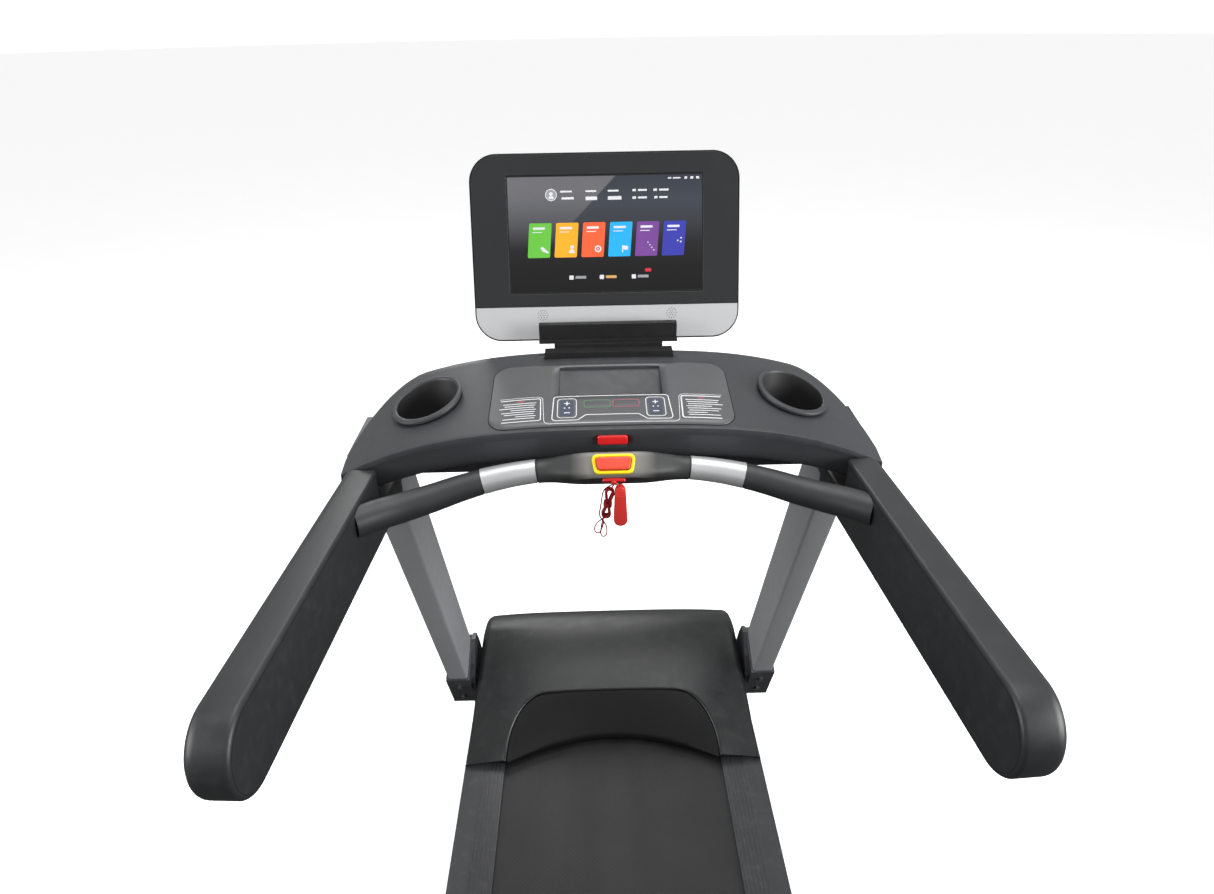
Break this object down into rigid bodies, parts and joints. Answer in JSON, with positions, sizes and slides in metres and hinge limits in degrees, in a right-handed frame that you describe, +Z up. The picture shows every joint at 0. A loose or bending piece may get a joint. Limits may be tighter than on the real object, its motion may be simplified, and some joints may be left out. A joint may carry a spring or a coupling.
{
  "type": "motorised treadmill",
  "caption": "Motorised treadmill with a belt deck, motor hood, leaning uprights, console with cup holders and tilting screen, plate arms, handlebar and safety key.",
  "frame": {"origin": "middle of the footprint, on the floor", "axes": "+X to the user's right, +Y towards the motor end, +Z up"},
  "size_m": [0.8598, 2.01, 1.5998],
  "materials": {
    "painted_frame": "satin black powder coat",
    "upright_paint": "satin grey powder coat",
    "bare_steel": "turned and zinc plated",
    "deck_wood": "phenolic coated board",
    "cushion_rubber": "matt",
    "belt_rubber": "fine diamond texture",
    "rail_plastic": "ribbed, fine grain",
    "hood_plastic": "satin moulded plastic",
    "inset_plastic": "dark moulded plastic",
    "arm_plastic": "fine grain",
    "console_plastic": "fine grain",
    "skirt_plastic": "fine grain",
    "overlay_film": "printed film",
    "grip_plastic": "soft grip",
    "silver_plate": "satin",
    "pod_plastic": "satin",
    "signal_yellow": "gloss",
    "signal_orange": "satin",
    "signal_red": "gloss",
    "cord_red": "braided cord",
    "bracket_black": "matt",
    "screen_plastic": "fine grain",
    "screen_glass": "gloss",
    "silver_band": "satin silver paint",
    "cast_motor": "satin",
    "circuit_board": "lacquered",
    "wheel_rubber": "matt",
    "zinc_bolt": "zinc plated"
  },
  "bodies": {
    "chassis": {"frame_rail_left": "painted_frame", "frame_rail_right": "painted_frame", "cross_members": "painted_frame", "deck_board": "deck_wood", "deck_cushions": "cushion_rubber", "running_belt": "belt_rubber", "side_rail_left": "rail_plastic", "side_rail_right": "rail_plastic", "end_cap_left": "rail_plastic", "end_cap_right": "rail_plastic", "belt_adjusters": "zinc_bolt", "roller_axles": "bare_steel", "motor_hood": "hood_plastic", "hood_inset": "inset_plastic", "motor_tray": "painted_frame", "drive_motor": "cast_motor", "drive_belt": "cushion_rubber", "motor_controller": "circuit_board", "lift_motor": "cast_motor", "upright_shoe_left": "painted_frame", "upright_shoe_right": "painted_frame", "upright_left": "upright_paint", "upright_right": "upright_paint", "frame_bolts": "zinc_bolt", "console_frame": "painted_frame", "console_base": "skirt_plastic", "console_top": "console_plastic", "console_overlay": "overlay_film", "console_boot_left": "arm_plastic", "console_boot_right": "arm_plastic", "cup_holder_left": "console_plastic", "cup_holder_right": "console_plastic", "arm_left": "arm_plastic", "arm_right": "arm_plastic", "grip_cover": "grip_plastic", "pulse_plates": "silver_plate", "stop_pod": "pod_plastic", "stop_ring": "signal_yellow", "screen_neck": "bracket_black"},
    "front_roller": {"front_roller": "bare_steel"},
    "rear_roller": {"rear_roller": "bare_steel"},
    "motor_rotor": {"motor_shaft": "bare_steel"},
    "lift_frame": {"lift_frame": "painted_frame"},
    "lift_tube": {"lift_tube": "bare_steel"},
    "wheel_left": {"wheel_left": "wheel_rubber"},
    "wheel_right": {"wheel_right": "wheel_rubber"},
    "foot_left": {"rear_foot_left": "cushion_rubber"},
    "foot_right": {"rear_foot_right": "cushion_rubber"},
    "screen": {"screen_back": "screen_plastic", "screen_bezel": "screen_plastic", "screen_glass": "screen_glass", "screen_band": "silver_band"},
    "stop_button": {"stop_button": "signal_orange"},
    "quick_stop": {"quick_stop": "signal_red"},
    "power_switch": {"power_switch": "signal_red"},
    "safety_key": {"safety_key": "signal_red", "lanyard": "cord_red", "lanyard_hank": "cord_red", "clip_body": "signal_red"},
    "clip_jaw": {"clip_jaw": "signal_red"}
  },
  "joints": [
    {"name": "front_roller_spin", "type": "hinge", "parent": "chassis", "child": "front_roller", "pos_m": [0, 0.69, 0.134], "axis": [1, 0, 0], "continuous": true},
    {"name": "rear_roller_spin", "type": "hinge", "parent": "chassis", "child": "rear_roller", "pos_m": [0, -0.945, 0.134], "axis": [1, 0, 0], "continuous": true},
    {"name": "motor_spin", "type": "hinge", "parent": "chassis", "child": "motor_rotor", "pos_m": [0, 0.885, 0.17], "axis": [1, 0, 0], "continuous": true},
    {"name": "incline", "type": "hinge", "parent": "chassis", "child": "lift_frame", "pos_m": [0, 0.6, 0.036], "axis": [-1, 0, 0], "range_deg": [0, 25]},
    {"name": "lift_tube_slide", "type": "slide", "parent": "chassis", "child": "lift_tube", "axis": [0, 0, -1], "range_m": [0, 0.0813]},
    {"name": "wheel_left_spin", "type": "hinge", "parent": "lift_frame", "child": "wheel_left", "pos_m": [-0.314, 0.94, 0.03], "axis": [1, 0, 0], "continuous": true},
    {"name": "wheel_right_spin", "type": "hinge", "parent": "lift_frame", "child": "wheel_right", "pos_m": [0.314, 0.94, 0.03], "axis": [1, 0, 0], "continuous": true},
    {"name": "foot_left_height", "type": "slide", "parent": "chassis", "child": "foot_left", "axis": [0, 0, -1], "range_m": [0, 0.012]},
    {"name": "foot_right_height", "type": "slide", "parent": "chassis", "child": "foot_right", "axis": [0, 0, -1], "range_m": [0, 0.012]},
    {"name": "screen_tilt", "type": "hinge", "parent": "chassis", "child": "screen", "pos_m": [0, 0.46586, 1.29059], "axis": [-1, 0, 0], "range_deg": [-5, 12]},
    {"name": "stop_press", "type": "slide", "parent": "chassis", "child": "stop_button", "axis": [0, 0.7071, -0.7071], "range_m": [0, 0.004], "stiffness_N_per_m": 1500, "springref_m": -0.001},
    {"name": "quick_stop_press", "type": "slide", "parent": "chassis", "child": "quick_stop", "axis": [0, 1, 0], "range_m": [0, 0.003], "stiffness_N_per_m": 1200, "springref_m": -0.001},
    {"name": "power_rocker", "type": "hinge", "parent": "chassis", "child": "power_switch", "pos_m": [-0.208, 0.988, 0.11], "axis": [1, 0, 0], "range_deg": [0, 12]},
    {"name": "key_pull", "type": "slide", "parent": "chassis", "child": "safety_key", "axis": [0, -0.7071, -0.7071], "range_m": [0, 0.012]},
    {"name": "clip_pinch", "type": "hinge", "parent": "safety_key", "child": "clip_jaw", "pos_m": [0.009, 0.137, 1.186], "axis": [-1, 0, 0], "range_deg": [0, 10], "stiffness_Nm_per_rad": 0.15, "springref_deg": -5.73}
  ],
  "couplings": [
    {"joint": "rear_roller_spin", "follows": "front_roller_spin", "ratio": 1},
    {"joint": "motor_spin", "follows": "front_roller_spin", "ratio": 2.625},
    {"joint": "lift_tube_slide", "follows": "incline", "m_per_rad": 0.18403}
  ]
}
